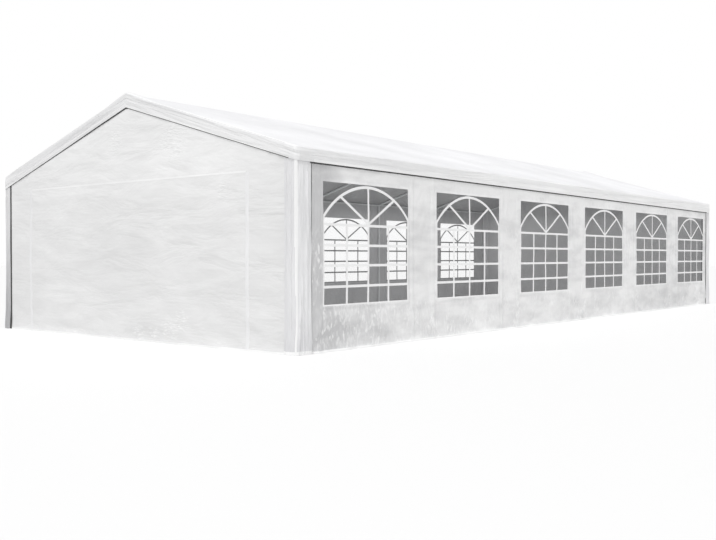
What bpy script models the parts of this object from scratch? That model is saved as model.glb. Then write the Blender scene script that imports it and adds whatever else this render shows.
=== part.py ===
"""A marquee tent, five by twelve metres nominal: white tarpaulin sheets on a steel tube frame.

X runs across the tent, Y along it and Z up. The closed front gable faces -Y, and the origin
lies on the ground under the middle of the ridge. Each sheet lies one layer outside the next:
tubes, then walls, then corner sleeves, then the edge that hangs from the roof.
"""

import math

import bmesh
import bpy
from mathutils import Matrix, Vector

# Driving dimensions, in metres.
HALF_WIDTH = 2.66
HALF_LENGTH = 6.112
EAVE_HEIGHT = 2.013
RIDGE_HEIGHT = 2.813
BAY_LENGTH = 2.0
BAY_COUNT = 6

# The sheets. The tarpaulin is drawn thicker than it is, so that it makes a sound solid.
SHEET = 0.004
GAP = 0.0003
VALANCE_DROP = 0.151
TRIM_DROP = 0.155
WINDOW_WIDTH = 1.43
WINDOW_SILL = 0.455
WINDOW_HEAD = 1.70
DOOR_HALF_WIDTH = 2.0
DOOR_HEIGHT = 1.80
CORNER_RADIUS = 0.025
CORNER_ON_GABLE = 0.15
CORNER_ON_SIDE = 0.208
CORNER_HEIGHT = 2.005
CORNER_STEPS = 4

# The steel frame. Legs and rafters are one size of tube, and thinner purlins run through
# short sleeves on them.
TUBE_RADIUS = 0.019
TUBE_SIDES = 12
PURLIN_RADIUS = 0.016
PURLIN_HALF_LENGTH = 6.094
SLEEVE_RADIUS = 0.0186
PAD_HALF = 0.06
FOOT_EDGE = 0.0185
SLEEVE_EDGE = 0.010
FOOT_THICKNESS = 0.006
FOOT_CHAMFER = 0.016
PEG_HOLE_RADIUS = 0.007
PEG_HOLE_INSET = 0.032

# Worked out from the sizes above.
LAYER = SHEET + GAP
PITCH = math.atan2(RIDGE_HEIGHT - EAVE_HEIGHT, HALF_WIDTH)
SLEEVE_FACE = HALF_WIDTH - LAYER
WALL_FACE = SLEEVE_FACE - LAYER
GABLE_FACE = HALF_LENGTH - LAYER
LEG_X = WALL_FACE - LAYER - TUBE_RADIUS
END_FRAME_Y = GABLE_FACE - LAYER - TUBE_RADIUS
TUBE_DROP = (LAYER + TUBE_RADIUS) / math.cos(PITCH)
GABLE_WALL_EDGE = SLEEVE_FACE - CORNER_ON_GABLE
SIDE_WALL_END = GABLE_FACE - CORNER_RADIUS

SIDES = {"left": -1, "right": 1}
ENDS = {"front": -1, "back": 1}


def clear_scene():
    for found in list(bpy.data.objects):
        bpy.data.objects.remove(found, do_unlink=True)


def make_finish(name, colour, roughness, metallic=0.0, alpha=1.0):
    finish = bpy.data.materials.new(name)
    finish.use_nodes = True
    shader = finish.node_tree.nodes["Principled BSDF"]
    shader.inputs["Base Color"].default_value = (*colour, 1.0)
    shader.inputs["Roughness"].default_value = roughness
    shader.inputs["Metallic"].default_value = metallic
    shader.inputs["Alpha"].default_value = alpha
    return finish


def finished(name, mesh, finish):
    """Turns a bmesh into an object of the tent, with its faces pointing out."""
    bmesh.ops.recalc_face_normals(mesh, faces=mesh.faces)
    data = bpy.data.meshes.new(name)
    mesh.to_mesh(data)
    mesh.free()
    data.materials.append(finish)
    made = bpy.data.objects.new(name, data)
    bpy.context.scene.collection.objects.link(made)
    return made


def new_points(made):
    return [part for part in made["geom"] if isinstance(part, bmesh.types.BMVert)]


def push(mesh, face, depth):
    pushed = bmesh.ops.extrude_face_region(mesh, geom=[face])
    bmesh.ops.translate(mesh, verts=new_points(pushed), vec=depth)


def prism(name, outline, depth, finish):
    """A flat sheet or bar: a ring of points, pushed along the vector depth."""
    mesh = bmesh.new()
    face = mesh.faces.new([mesh.verts.new(point) for point in outline])
    push(mesh, face, depth)
    return finished(name, mesh, finish)


def add_box(mesh, low, high):
    middle = (Vector(low) + Vector(high)) / 2
    size = Vector(high) - Vector(low)
    place = Matrix.Translation(middle) @ Matrix.Diagonal((*size, 1.0))
    return bmesh.ops.create_cube(mesh, size=1.0, matrix=place)["verts"]


def add_rod(mesh, start, end, radius, sides=TUBE_SIDES):
    along = Vector(end) - Vector(start)
    turn = along.to_track_quat("Z", "Y").to_matrix().to_4x4()
    place = Matrix.Translation((Vector(start) + Vector(end)) / 2) @ turn
    bmesh.ops.create_cone(
        mesh,
        cap_ends=True,
        radius1=radius,
        radius2=radius,
        depth=along.length,
        segments=sides,
        matrix=place,
    )


def add_tool(body, tool, operation):
    """Joins or cuts a body with a helper shape that the tent itself doesn't show."""
    tool.hide_render = True
    tool.display_type = "WIRE"
    change = body.modifiers.new(tool.name, "BOOLEAN")
    change.operation = operation
    change.object = tool


def roof_top(x):
    return RIDGE_HEIGHT - math.tan(PITCH) * abs(x)


def under_roof(x):
    """Height just below the roof cover, where the next sheet starts."""
    return roof_top(x) - LAYER / math.cos(PITCH)


def bay_centres():
    first = -BAY_LENGTH * (BAY_COUNT - 1) / 2
    return [first + BAY_LENGTH * bay for bay in range(BAY_COUNT)]


def frame_places():
    """The frames stand between the bays, and the outer two just inside the gable sheets."""
    inner = [y + BAY_LENGTH / 2 for y in bay_centres()[:-1]]
    return [-END_FRAME_Y, *inner, END_FRAME_Y]


def add_swept_tube(mesh, route, radius):
    """A closed tube along straight runs in one plane, mitred where they meet."""
    heading = (route[1] - route[0]).normalized()
    place = Matrix.Translation(route[0]) @ heading.to_track_quat("Z", "Y").to_matrix().to_4x4()
    circle = bmesh.ops.create_circle(
        mesh, cap_ends=False, radius=radius, segments=TUBE_SIDES, matrix=place
    )["verts"]
    ring = list({edge for point in circle for edge in point.link_edges})
    bmesh.ops.contextual_create(mesh, geom=ring)
    for index in range(1, len(route)):
        heading = (route[index] - route[index - 1]).normalized()
        last = index == len(route) - 1
        onward = heading if last else (route[index + 1] - route[index]).normalized()
        cut = (heading + onward).normalized()
        made = bmesh.ops.extrude_edge_only(mesh, edges=ring)["geom"]
        for point in [part for part in made if isinstance(part, bmesh.types.BMVert)]:
            distance = (route[index] - point.co).dot(cut) / heading.dot(cut)
            point.co += heading * distance
        ring = [
            part
            for part in made
            if isinstance(part, bmesh.types.BMEdge) and len(part.link_faces) == 1
        ]
    bmesh.ops.contextual_create(mesh, geom=ring)


def pad_centre(y, edge):
    """The middle of a sleeve or foot: on its frame, or inwards of it where the gable sheet is near."""
    at_end = abs(y) > END_FRAME_Y - GAP
    return y - math.copysign(PAD_HALF - edge, y) if at_end else y


def frame_sleeves(name, centre, steel):
    """The short pipes that carry the purlins, one at the ridge and one at each eave."""
    mesh = bmesh.new()
    for x in (-LEG_X, 0.0, LEG_X):
        z = roof_top(x) - TUBE_DROP
        start = (x, centre - PAD_HALF, z)
        end = (x, centre + PAD_HALF, z)
        add_rod(mesh, start, end, SLEEVE_RADIUS)
    return finished(name, mesh, steel)


def frame_feet(name, centre, steel):
    """The foot plates, flush with the outside of the legs and reaching inwards."""
    mesh = bmesh.new()
    for side in SIDES.values():
        middle = side * (LEG_X + FOOT_EDGE - PAD_HALF)
        low = (middle - PAD_HALF, centre - PAD_HALF, 0.0)
        high = (middle + PAD_HALF, centre + PAD_HALF, FOOT_THICKNESS)
        add_box(mesh, low, high)
    upright = [edge for edge in mesh.edges if abs(edge.verts[0].co.z - edge.verts[1].co.z) > GAP]
    bmesh.ops.bevel(
        mesh,
        geom=upright,
        offset=FOOT_CHAMFER,
        affect="EDGES",
        segments=1,
        profile=0.5,
        material=-1,
    )
    return finished(name, mesh, steel)


def peg_holes(name, centre, steel):
    mesh = bmesh.new()
    for side in SIDES.values():
        x = side * (LEG_X + FOOT_EDGE - 2 * PAD_HALF + PEG_HOLE_INSET)
        add_rod(mesh, (x, centre, -PAD_HALF), (x, centre, PAD_HALF), PEG_HOLE_RADIUS, 8)
    return finished(name, mesh, steel)


def purlin_bores(steel):
    """The space that the purlins take inside the sleeves, with a sliding gap."""
    mesh = bmesh.new()
    for x in (-LEG_X, 0.0, LEG_X):
        z = roof_top(x) - TUBE_DROP
        start = (x, -HALF_LENGTH, z)
        end = (x, HALF_LENGTH, z)
        add_rod(mesh, start, end, PURLIN_RADIUS + GAP)
    return finished("purlin_bores", mesh, steel)


def portal_frame(number, y, bores, steel):
    """Two legs and two rafters in one bent line, with feet and purlin sleeves."""
    eave = roof_top(LEG_X) - TUBE_DROP
    ridge = roof_top(0.0) - TUBE_DROP
    foot = FOOT_THICKNESS / 2
    corners = [(-LEG_X, foot), (-LEG_X, eave), (0.0, ridge), (LEG_X, eave), (LEG_X, foot)]
    mesh = bmesh.new()
    add_swept_tube(mesh, [Vector((x, y, z)) for x, z in corners], TUBE_RADIUS)
    frame = finished(f"portal_frame_{number}", mesh, steel)
    sleeve_centre = pad_centre(y, SLEEVE_EDGE)
    foot_centre = pad_centre(y, FOOT_EDGE)
    add_tool(frame, frame_sleeves(f"sleeves_{number}", sleeve_centre, steel), "UNION")
    add_tool(frame, frame_feet(f"feet_{number}", foot_centre, steel), "UNION")
    add_tool(frame, peg_holes(f"peg_holes_{number}", foot_centre, steel), "DIFFERENCE")
    add_tool(frame, bores, "DIFFERENCE")
    return frame


def purlin(name, x, steel):
    mesh = bmesh.new()
    z = roof_top(x) - TUBE_DROP
    add_rod(mesh, (x, -PURLIN_HALF_LENGTH, z), (x, PURLIN_HALF_LENGTH, z), PURLIN_RADIUS)
    return finished(name, mesh, steel)


def roof_slope(name, side, tarpaulin):
    """Half of the roof cover, from the fold at the ridge to the edge over the wall."""
    thick = SHEET / math.cos(PITCH)
    inner = side * GAP / 2
    outer = side * HALF_WIDTH
    outline = [
        (inner, -HALF_LENGTH, roof_top(inner)),
        (outer, -HALF_LENGTH, roof_top(outer)),
        (outer, -HALF_LENGTH, roof_top(outer) - thick),
        (inner, -HALF_LENGTH, roof_top(inner) - thick),
    ]
    return prism(name, outline, (0, 2 * HALF_LENGTH, 0), tarpaulin)


def eave_valance(name, side, tarpaulin):
    """The strip of the roof cover that hangs down along a long side."""
    top = under_roof(HALF_WIDTH)
    bottom = EAVE_HEIGHT - VALANCE_DROP
    x = side * HALF_WIDTH
    outline = [
        (x, -HALF_LENGTH, bottom),
        (x, HALF_LENGTH, bottom),
        (x, HALF_LENGTH, top),
        (x, -HALF_LENGTH, top),
    ]
    return prism(name, outline, (-side * SHEET, 0, 0), tarpaulin)


def gable_trim(name, end, side, tarpaulin):
    """The strip of the roof cover that hangs down along one slope of a gable."""
    y = end * HALF_LENGTH
    inner = side * GAP / 2
    outer = side * SLEEVE_FACE
    outline = [
        (inner, y, under_roof(inner)),
        (outer, y, under_roof(outer)),
        (outer, y, roof_top(outer) - TRIM_DROP),
        (inner, y, roof_top(inner) - TRIM_DROP),
    ]
    return prism(name, outline, (0, -end * SHEET, 0), tarpaulin)


def window_places(side):
    """The lowest and highest corner of each window hole in a side wall."""
    inner = side * (WALL_FACE - SHEET)
    outer = side * WALL_FACE
    for y in bay_centres():
        low = (min(inner, outer), y - WINDOW_WIDTH / 2, WINDOW_SILL)
        high = (max(inner, outer), y + WINDOW_WIDTH / 2, WINDOW_HEAD)
        yield Vector(low), Vector(high)


def side_wall(name, side, tarpaulin):
    """A long wall in one piece, with a hole for the window of each bay."""
    x = side * WALL_FACE
    top = under_roof(SLEEVE_FACE) - GAP
    outline = [
        (x, -SIDE_WALL_END, 0.0),
        (x, SIDE_WALL_END, 0.0),
        (x, SIDE_WALL_END, top),
        (x, -SIDE_WALL_END, top),
    ]
    wall = prism(name, outline, (-side * SHEET, 0, 0), tarpaulin)
    holes = bmesh.new()
    through = Vector((SHEET, 0, 0))
    for low, high in window_places(side):
        add_box(holes, low - through, high + through)
    add_tool(wall, finished(f"{name}_holes", holes, tarpaulin), "DIFFERENCE")
    return wall


def window(name, low, high, foil):
    """A clear pane that fills its hole, welded round its edge on the real wall."""
    edge = Vector((0, GAP, GAP))
    mesh = bmesh.new()
    add_box(mesh, low + edge, high - edge)
    return finished(name, mesh, foil)


def gable_panel(name, end, profile, tarpaulin):
    """A flat piece of a gable wall, from its outline as seen from the front."""
    y = end * GABLE_FACE
    outline = [(x, y, z) for x, z in profile]
    return prism(name, outline, (0, -end * SHEET, 0), tarpaulin)


def gable_wall(end_name, end, tarpaulin):
    """The door sheet between its two zips, a strip on each side and the piece over them."""
    door = DOOR_HALF_WIDTH - GAP / 2
    seam = DOOR_HEIGHT - GAP / 2
    sheet = [(-door, 0.0), (door, 0.0), (door, seam), (-door, seam)]
    gable_panel(f"{end_name}_door_sheet", end, sheet, tarpaulin)
    near = DOOR_HALF_WIDTH + GAP / 2
    far = GABLE_WALL_EDGE - GAP
    for side_name, side in SIDES.items():
        strip = [(near, 0.0), (far, 0.0), (far, seam), (near, seam)]
        profile = [(side * x, z) for x, z in strip]
        gable_panel(f"{end_name}_gable_strip_{side_name}", end, profile, tarpaulin)
    low = DOOR_HEIGHT + GAP / 2
    top = [
        (-far, low),
        (far, low),
        (far, under_roof(far)),
        (0.0, under_roof(0.0)),
        (-far, under_roof(far)),
    ]
    gable_panel(f"{end_name}_gable_top", end, top, tarpaulin)


def corner_sleeve(name, end, side, tarpaulin):
    """The gable sheet's edge, wrapped round the corner leg and a hand's width along the side."""
    centre = Vector((SLEEVE_FACE - CORNER_RADIUS, GABLE_FACE - CORNER_RADIUS))

    def arc(radius):
        angles = [math.pi / 2 * step / CORNER_STEPS for step in range(CORNER_STEPS + 1)]
        return [centre + radius * Vector((math.cos(a), math.sin(a))) for a in angles]

    outside = [
        Vector((SLEEVE_FACE, HALF_LENGTH - CORNER_ON_SIDE)),
        *arc(CORNER_RADIUS),
        Vector((GABLE_WALL_EDGE, GABLE_FACE)),
    ]
    inside = [
        Vector((SLEEVE_FACE - SHEET, HALF_LENGTH - CORNER_ON_SIDE)),
        *arc(CORNER_RADIUS - SHEET),
        Vector((GABLE_WALL_EDGE, GABLE_FACE - SHEET)),
    ]
    outline = [(side * x, end * y, 0.0) for x, y in outside + inside[::-1]]
    return prism(name, outline, (0, 0, CORNER_HEIGHT), tarpaulin)


def build():
    clear_scene()
    tarpaulin = make_finish("white_tarpaulin", (0.86, 0.86, 0.87), 0.55)
    foil = make_finish("clear_foil", (0.62, 0.63, 0.65), 0.15, alpha=0.35)
    steel = make_finish("galvanised_tube", (0.62, 0.63, 0.64), 0.4, metallic=1.0)
    bores = purlin_bores(steel)
    for number, y in enumerate(frame_places(), 1):
        portal_frame(number, y, bores, steel)
    purlin("ridge_purlin", 0.0, steel)
    for side_name, side in SIDES.items():
        purlin(f"eave_purlin_{side_name}", side * LEG_X, steel)
        roof_slope(f"roof_slope_{side_name}", side, tarpaulin)
        eave_valance(f"eave_valance_{side_name}", side, tarpaulin)
        side_wall(f"side_wall_{side_name}", side, tarpaulin)
        for number, (low, high) in enumerate(window_places(side), 1):
            window(f"window_{side_name}_{number}", low, high, foil)
    for end_name, end in ENDS.items():
        gable_wall(end_name, end, tarpaulin)
        for side_name, side in SIDES.items():
            gable_trim(f"{end_name}_gable_trim_{side_name}", end, side, tarpaulin)
            corner_sleeve(f"corner_sleeve_{end_name}_{side_name}", end, side, tarpaulin)


build()
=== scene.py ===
# %% [markdown]
# # A marquee tent in white sheets
#
# The solid model gives the tent's size and its frame of steel tube. Here its sheets get what
# cloth has: folds, sag, hems, seams and a woven surface. Every length is in metres. X runs
# across the tent, Y along it and Z up, and the closed gable that we look at faces -Y.

# %% Load the frame
import math

import bmesh
import bpy
from mathutils import Matrix, Vector, noise


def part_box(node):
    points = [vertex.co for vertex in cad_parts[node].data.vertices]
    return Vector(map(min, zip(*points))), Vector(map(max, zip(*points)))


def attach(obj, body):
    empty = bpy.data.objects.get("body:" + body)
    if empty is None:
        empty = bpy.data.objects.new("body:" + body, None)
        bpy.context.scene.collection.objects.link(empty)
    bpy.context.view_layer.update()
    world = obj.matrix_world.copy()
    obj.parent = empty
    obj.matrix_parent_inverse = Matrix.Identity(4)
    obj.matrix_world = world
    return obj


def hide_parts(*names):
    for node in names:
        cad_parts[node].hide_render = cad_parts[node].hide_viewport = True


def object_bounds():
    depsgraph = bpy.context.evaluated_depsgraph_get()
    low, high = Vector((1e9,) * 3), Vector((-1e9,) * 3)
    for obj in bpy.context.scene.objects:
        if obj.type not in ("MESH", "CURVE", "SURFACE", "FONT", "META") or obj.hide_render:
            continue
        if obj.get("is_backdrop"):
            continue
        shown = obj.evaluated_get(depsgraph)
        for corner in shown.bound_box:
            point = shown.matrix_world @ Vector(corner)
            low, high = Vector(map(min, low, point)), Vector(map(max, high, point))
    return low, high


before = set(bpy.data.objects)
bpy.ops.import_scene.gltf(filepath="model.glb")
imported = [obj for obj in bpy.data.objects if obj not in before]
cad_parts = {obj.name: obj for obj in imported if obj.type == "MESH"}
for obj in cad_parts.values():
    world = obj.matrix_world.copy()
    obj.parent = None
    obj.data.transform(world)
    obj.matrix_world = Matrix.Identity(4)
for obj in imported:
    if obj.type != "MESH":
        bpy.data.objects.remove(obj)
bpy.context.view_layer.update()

# %% [markdown]
# ## The camera
#
# The picture was taken from a metre above the ground, eight metres off the near corner.
# Placing the camera by that point and two angles, a turn and a slight tilt down, is easier to
# read than a matrix. A lens of 44 mm on a full frame sensor gives the picture's perspective.

# %% Camera
CAMERA_PLACE = (8.454, -12.289, 0.951)
CAMERA_TURN = math.radians(39.16)
CAMERA_TILT = math.radians(-0.863)
CAMERA_LENS = 44.44
SENSOR_WIDTH = 36.0
FARTHEST = 500.0


def in_scene(name, data):
    """A new object with this data, in the scene."""
    made = bpy.data.objects.new(name, data)
    bpy.context.scene.collection.objects.link(made)
    return made


lens = bpy.data.cameras.new("studio_camera")
lens.sensor_width = SENSOR_WIDTH
lens.lens = CAMERA_LENS
lens.clip_end = FARTHEST
camera = in_scene("studio_camera", lens)
camera.location = CAMERA_PLACE
camera.rotation_euler = (math.pi / 2 + CAMERA_TILT, 0.0, CAMERA_TURN)
bpy.context.scene.camera = camera
print("camera at", CAMERA_PLACE)

# %% [markdown]
# ## One function for colours, one for nodes
#
# Colours are easiest to read as the hex values of a screen, but shaders want linear light, so
# one function converts them. Another adds a shader node with its settings and its links, so
# that a material reads as a short list.

# %% Colours and nodes
def colour(code):
    """A hex colour of the screen, in linear light and with full alpha."""
    parts = [int(code[i : i + 2], 16) / 255 for i in (1, 3, 5)]
    linear = [p / 12.92 if p <= 0.04045 else ((p + 0.055) / 1.055) ** 2.4 for p in parts]
    return (*linear, 1.0)


def add_node(tree, kind, *values, inputs=None, **choices):
    """Adds a shader node and gives back its outputs. values are its first inputs, in order, and
    inputs are others. Each of them is a number, a hex colour or an output of another node."""
    node = tree.nodes.new("ShaderNode" + kind)
    for name, choice in choices.items():
        setattr(node, name, choice)
    for name, value in [*enumerate(values), *(inputs or {}).items()]:
        if isinstance(value, bpy.types.NodeSocket):
            tree.links.new(value, node.inputs[name])
        else:
            node.inputs[name].default_value = colour(value) if isinstance(value, str) else value
    return node.outputs


def new_material(name):
    """A material with its shader, and the place on the object to draw patterns by."""
    material = bpy.data.materials.new(name)
    material.use_nodes = True
    tree = material.node_tree
    place = add_node(tree, "TexCoord")["Object"]
    return material, tree, tree.nodes["Principled BSDF"], place


print("white paper in linear light:", [round(part, 3) for part in colour("#F4F4F4")[:3]])

# %% [markdown]
# ## Woven tarpaulin
#
# The sheets are polyethylene tape, woven and coated on both sides. The coating makes them
# satin, and where a sheet is crushed its small facets catch the light. That light is painted
# into the colour as white flecks, which are painted glints, and the facets also get relief. So
# the shader has three layers of relief: slow folds, facets in the crushed spots, and the threads.
# The facets are the cells of a Voronoi pattern that a noise has bent out of shape, and each
# painted glint is brightest in its cell's middle. The real threads lie 3 mm apart, which is
# under a pixel here, so they are drawn 40 mm apart and very faint. All of it comes from object
# coordinates, so it stays put in every view.

# %% Sizes of its patterns
# Scales of the noises and of the flecks, in a metre.
CLOUDS = 0.9
BLOTCHES = 6.0
PATCHES = 4.6
WAVERS = 14.0
SLOW_FOLDS = 2.6
FLECKS = 38.0

WAVER_PUSH = 0.08
LEAST_FLECKS = 0.8  # share of a crushed spot's middle, between its patches
THREAD_DEPTH = 0.00015
FACET_DEPTH = 0.004
THREADS_APART = 0.04
WAVE_UNIT = 0.314  # a wave texture at scale 1 repeats every 0.314 m
ROOF_FALL = 0.3  # the roof falls 3 in 10

# Crushed spots, where the relief has facets and the colour has painted glints, each with its place
# along the sheet, its height and its radius.
SIDE_PLANE = 2.65
GABLE_PLANE = 6.11
SIDE_SPOTS = (
    (5.4, 0.20, 0.50),
    (4.9, 0.30, 0.50),
    (4.0, 0.25, 0.34),
    (5.8, 0.90, 0.36),
    (1.9, 0.95, 0.50),
    (-2.0, 0.98, 0.50),
    (-4.0, 0.98, 0.50),
)
GABLE_SPOTS = (
    (0.85, 2.20, 0.32),
    (-0.20, 2.27, 0.18),
    (1.65, 1.63, 0.14),
    (0.98, 0.26, 0.16),
    (0.78, 0.13, 0.18),
    (0.52, 0.07, 0.16),
    (0.24, 0.07, 0.16),
)
print("crushed spots:", 2 * (len(SIDE_SPOTS) + len(GABLE_SPOTS)))


# %% Where the folds lie, and where the sheet is crushed
def pattern_place(tree, place, slope, stretch):
    """Where to draw the folds: level with the roof's slopes if slope is given, then squeezed."""
    if slope:
        x, y, z = add_node(tree, "SeparateXYZ", place)
        across = add_node(tree, "Math", x, operation="ABSOLUTE")[0]
        level = add_node(tree, "Math", across, slope, z, operation="MULTIPLY_ADD")[0]
        place = add_node(tree, "CombineXYZ", x, y, level)[0]
    return add_node(tree, "Mapping", place, inputs={"Scale": stretch})[0]


def crushed(tree, place, spots):
    """1 in the middle of each crushed spot with painted glints, and 0 from its radius on."""
    share = 0.0
    for middle, radius in spots:
        away = add_node(tree, "VectorMath", place, middle, operation="DISTANCE")["Value"]
        near = add_node(tree, "MapRange", away, radius, 0.4 * radius)[0]
        share = add_node(tree, "Math", share, near, operation="MAXIMUM")[0]
    return share


# %% Tarpaulin
def woven_tarpaulin(
    name, tone, shade, folds, stretch,
    toned=(0, 1), fades=(), mottle=0.0, calm_above=None, spots=(), slope=0,
):
    """folds is the height of the slow folds, in metres, and stretch runs all relief along the
    way the cloth was folded. toned is the part of the way from shade to tone that the sheet
    wanders over. Each of the fades is an axis, where along it the fade starts and ends, and how
    far it takes the sheet towards its tone. mottle is how far level blotches take it either
    way. The flecks stop above calm_above, except at the spots."""
    material, tree, shader, place = new_material(f"woven_tarpaulin_{name}")
    along = pattern_place(tree, place, slope, stretch)
    apart = add_node(tree, "SeparateXYZ", place)

    # Its tone: slow clouds, fades and level blotches.
    clouds = add_node(tree, "TexNoise", place, inputs={"Scale": CLOUDS, "Detail": 4.0})["Fac"]
    clouds = add_node(tree, "MapRange", clouds, 0.32, 0.68, *toned)[0]
    for axis, start, end, amount in fades:
        fade = add_node(tree, "MapRange", apart[axis], start, end, 0.0, amount)[0]
        clouds = add_node(tree, "Math", clouds, fade, operation="ADD")[0]
    if mottle:
        level = add_node(tree, "Mapping", place, inputs={"Scale": (0.4, 0.4, 1.2)})[0]
        blotch = add_node(tree, "TexNoise", level, inputs={"Scale": BLOTCHES, "Detail": 4.0})
        blotch = add_node(tree, "MapRange", blotch["Fac"], 0.3, 0.7, -mottle, mottle)[0]
        clouds = add_node(tree, "Math", clouds, blotch, operation="ADD")[0]
    ground = add_node(tree, "Mix", clouds, inputs={6: shade, 7: tone}, data_type="RGBA")[2]

    # How much of it is flecked: patches of it, and every crushed spot.
    loose = 0.25
    if calm_above is not None:
        calm = (calm_above, calm_above + 0.2)
        loose = add_node(tree, "MapRange", apart["Z"], *calm, 1.0, 0.15)[0]
    spot = crushed(tree, place, spots)
    loose = add_node(tree, "Math", loose, spot, operation="MAXIMUM")[0]
    patch = add_node(tree, "TexNoise", along, inputs={"Scale": PATCHES, "Detail": 3.0})["Fac"]
    patch = add_node(tree, "MapRange", patch, 0.40, 0.60)[0]
    patch = add_node(tree, "Math", patch, loose, operation="MULTIPLY")[0]
    spot = add_node(tree, "Math", spot, LEAST_FLECKS, operation="MULTIPLY")[0]
    patch = add_node(tree, "Math", patch, spot, operation="MAXIMUM")[0]

    # The flecks themselves: painted glints, white mixed into the colour and brightest in each cell's
    # middle.
    waver = add_node(tree, "TexNoise", along, inputs={"Scale": WAVERS})["Color"]
    push = (WAVER_PUSH, WAVER_PUSH, WAVER_PUSH)
    bent = add_node(tree, "VectorMath", waver, push, along, operation="MULTIPLY_ADD")[0]
    cells = add_node(tree, "TexVoronoi", bent, inputs={"Scale": FLECKS})
    fleck = add_node(tree, "MapRange", cells["Color"], 0.40, 0.72)[0]
    glint = add_node(tree, "MapRange", cells["Distance"], 0.10, 0.70, 1.0, 0.20)[0]
    white = add_node(tree, "Math", fleck, glint, operation="MULTIPLY")[0]
    white = add_node(tree, "Math", white, patch, operation="MULTIPLY")[0]
    skin = add_node(tree, "Mix", white, inputs={6: ground, 7: "#FDFDFD"}, data_type="RGBA")[2]
    tree.links.new(skin, shader.inputs["Base Color"])
    satin = add_node(tree, "MapRange", clouds, 0.0, 1.0, 0.42, 0.60)[0]
    tree.links.new(satin, shader.inputs["Roughness"])

    # Its relief: threads, slow folds and facets, each on top of the one before.
    spacing = {"Scale": WAVE_UNIT / THREADS_APART, "Distortion": 0.4, "Detail": 1.0}
    threads = [
        add_node(tree, "TexWave", place, inputs=spacing, bands_direction=way)["Fac"]
        for way in "YZ"
    ]
    weave = add_node(tree, "Math", *threads, operation="ADD")[0]
    folding = {"Scale": SLOW_FOLDS, "Detail": 4.0, "Distortion": 0.5}
    slow = add_node(tree, "TexNoise", along, inputs=folding)["Fac"]
    facets = add_node(tree, "Math", cells["Distance"], patch, operation="MULTIPLY")[0]
    relief = {}
    for depth, height in ((THREAD_DEPTH, weave), (folds, slow), (FACET_DEPTH, facets)):
        relief.update({"Distance": depth, "Height": height})
        relief["Normal"] = add_node(tree, "Bump", inputs=relief)["Normal"]
    tree.links.new(relief["Normal"], shader.inputs["Normal"])
    return material


# %% [markdown]
# Each kind of sheet has a finish of its own. The folds of the roof and of its rim run level,
# those of the walls upright, and a doubled band is whiter and smoother than the rest. The
# inner faces are painted greyer, as painted shade where little daylight reaches them, so the
# tubes stand out against them as light lines.

# %% Finishes of the sheets
roof_tarpaulin = woven_tarpaulin(
    "roof", "#F0F0F2", "#E8E8EA", 0.034, (0.35, 0.25, 4.0), slope=ROOF_FALL
)
# Painted shade: the roof's underside and the walls' inner faces are greyer than the outer faces.
roof_underside_shade = woven_tarpaulin(
    "underside", "#B0B0B1", "#A4A4A5", 0.022, (0.35, 0.25, 4.0), slope=ROOF_FALL
)
wall_inside_shade = woven_tarpaulin("inside", "#D8D8D9", "#CCCCCD", 0.030, (1.0, 1.0, 0.6))
trim_tarpaulin = woven_tarpaulin(
    "trim", "#FAFAFA", "#E8E8E9", 0.040, (0.30, 0.25, 5.0),
    toned=(0.1, 0.6),
    # Painted light: the rim is lighter from near the front end towards the back.
    fades=(("Y", -5.0, -2.5, 0.6),),
    slope=ROOF_FALL,
)
side_tarpaulin = woven_tarpaulin(
    "side", "#F5F5F5", "#CECECF", 0.050, (1.0, 1.0, 0.45),
    toned=(0.65, 1.05),
    fades=(
        # Painted shade darkens the front end of the wall, most of all its last half metre by the
        # corner.
        ("Y", -5.3, -5.8, -0.85),
        ("Y", -4.2, -5.2, -0.35),
        # Darker towards the back end and towards the foot.
        ("Y", 2.0, 4.0, -0.2),
        ("Z", 0.5, 0.3, -0.15),
        # Painted light: lighter towards the top, under the rim, where the rim's shadow falls.
        ("Z", 1.45, 1.85, 0.35),
    ),
    mottle=0.34,
    calm_above=0.35,
    spots=[
        ((side * SIDE_PLANE, -side * y, z), r) for side in (-1, 1) for y, z, r in SIDE_SPOTS
    ],
)
gable_tarpaulin = woven_tarpaulin(
    "gable", "#F4F4F4", "#DCDCDC", 0.032, (0.45, 1.0, 1.5),
    mottle=0.12,
    toned=(0.40, 0.62),
    # Painted light: lighter towards the top, where the rim's shadow falls; a little darker at the
    # sides.
    fades=(("Z", 1.2, 2.3, 0.45), ("X", 1.6, 2.4, -0.1), ("X", -1.8, -2.4, -0.1)),
    calm_above=-0.1,
    spots=[
        ((-side * x, side * GABLE_PLANE, z), r) for side in (-1, 1) for x, z, r in GABLE_SPOTS
    ],
)
corner_tarpaulin = woven_tarpaulin(
    "corner", "#F6F6F7", "#DCDCDE", 0.050, (3.0, 3.0, 0.35),
    toned=(0.3, 1.0),
    # Darker towards the foot, and painted shade on the gable part of the two front sleeves.
    fades=(("Z", 1.0, 0.2, -0.45), ("Y", -6.06, -6.10, -0.3)),
)
# Painted shade for the gable part of two of the sleeves: grey, darkest at the foot.
shaded_corner_tarpaulin = woven_tarpaulin(
    "corner_painted_shade", "#DEDEDF", "#A6A6A8", 0.040, (2.5, 2.5, 0.35),
    toned=(0.05, 0.25),
    fades=(("Z", 0.2, 1.7, 1.0),),
)
double_tarpaulin = woven_tarpaulin("double", "#FCFCFC", "#F4F4F4", 0.006, (1.0, 1.0, 0.6))
zip_tarpaulin = woven_tarpaulin("zip", "#F2F2F3", "#EAEAEB", 0.006, (1.0, 1.0, 0.6))
print("materials:", len(bpy.data.materials))

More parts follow.
